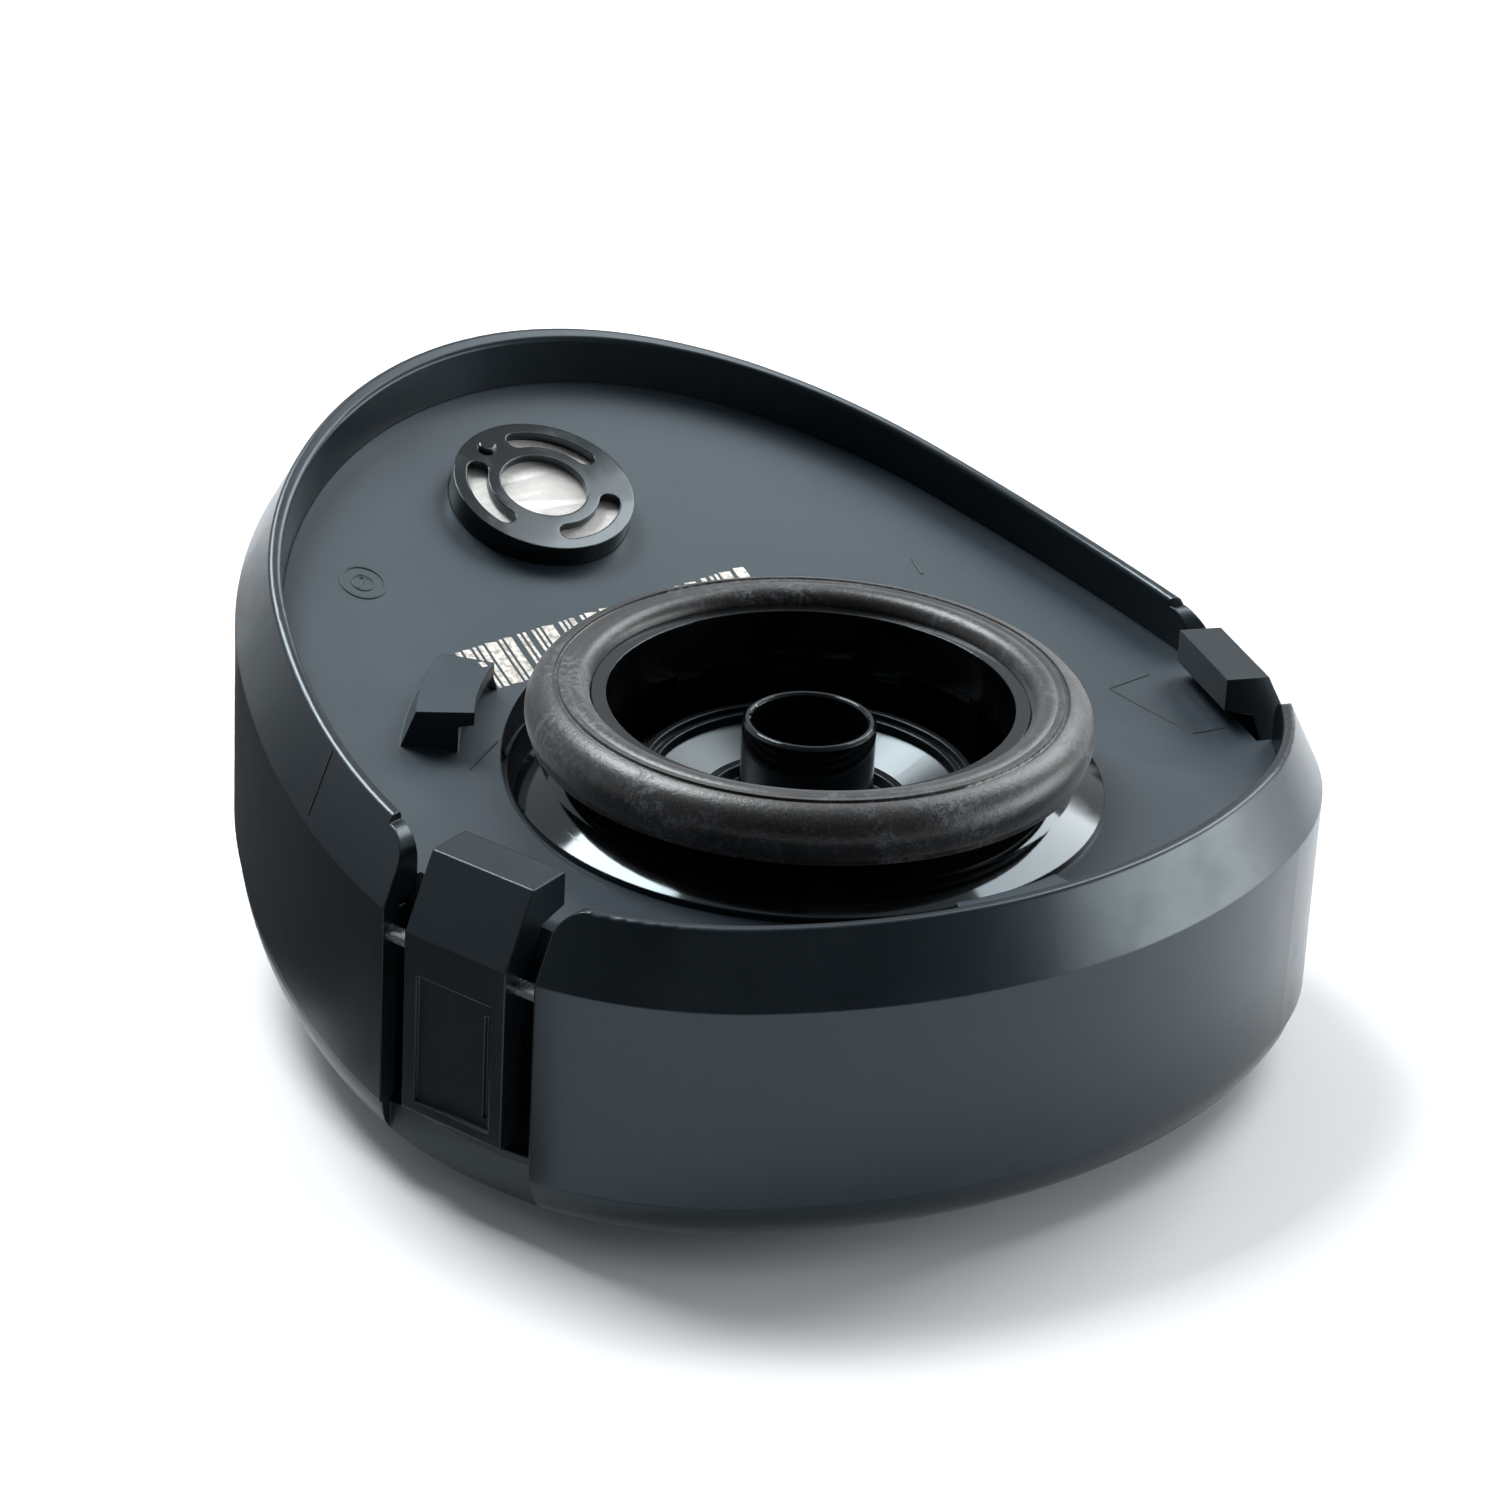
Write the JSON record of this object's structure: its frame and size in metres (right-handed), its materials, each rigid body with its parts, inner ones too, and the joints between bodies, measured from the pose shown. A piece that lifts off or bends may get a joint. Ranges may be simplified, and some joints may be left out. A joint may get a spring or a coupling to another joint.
{
  "type": "respirator filter canister",
  "caption": "Conformal filter canister for a full-face respirator, with a round mask port, two spring latches and a bayonet inlet grille.",
  "frame": {"origin": "neck axis, on the plane of the inlet grille that the canister stands on", "axes": "+Z out of the mask port, +Y towards the narrow end that curves up, +X to the right"},
  "size_m": [0.1078, 0.1148, 0.0549],
  "materials": {
    "shell": "satin moulded texture",
    "inner_plastic": "matt",
    "grille_plastic": "satin",
    "gloss_moulding": "gloss",
    "gasket_rubber": "dusty",
    "seal_rubber": "matt",
    "screen_fabric": "fine non-woven",
    "filter_paper": "fibrous",
    "pad_foam": "open felt",
    "carbon": "granular",
    "indicator_paper": "matt",
    "window_plastic": "clear",
    "pin_steel": "satin",
    "spring_steel": "drawn wire"
  },
  "bodies": {
    "canister": {"outer_cover": "shell", "blunt_end_skirt": "shell", "narrow_end_skirt": "shell", "inner_housing": "inner_plastic", "base_plate": "shell", "perimeter_seal": "seal_rubber", "neck_outlet": "gloss_moulding", "neck_gasket": "gasket_rubber", "valve_tube": "gloss_moulding", "valve_dish": "gloss_moulding", "inlet_grille": "grille_plastic", "bayonet_tray": "inner_plastic", "inlet_screen": "screen_fabric", "mask_side_screen": "screen_fabric", "carbon_bed": "carbon", "inlet_side_screen": "screen_fabric", "compression_pad": "pad_foam", "pleated_media": "filter_paper", "media_frame": "inner_plastic", "indicator_housing": "gloss_moulding", "indicator_rivet": "gloss_moulding", "indicator_window": "window_plastic", "indicator_disc": "indicator_paper", "indicator_seal": "seal_rubber", "right_latch_pin": "pin_steel", "left_latch_pin": "pin_steel"},
    "right_latch": {"right_latch_lever": "shell", "right_latch_spring": "spring_steel"},
    "left_latch": {"left_latch_lever": "shell", "left_latch_spring": "spring_steel"}
  },
  "joints": [
    {"name": "right_latch_pivot", "type": "hinge", "parent": "canister", "child": "right_latch", "pos_m": [0.05341, -0.00802, 0.0265], "axis": [0.2874, 0.9578, 0], "range_deg": [0, 8], "stiffness_Nm_per_rad": 0.02, "springref_deg": -2.86},
    {"name": "left_latch_pivot", "type": "hinge", "parent": "canister", "child": "left_latch", "pos_m": [-0.04601, -0.00802, 0.0265], "axis": [0.2874, -0.9578, 0], "range_deg": [0, 8], "stiffness_Nm_per_rad": 0.02, "springref_deg": -2.86}
  ]
}
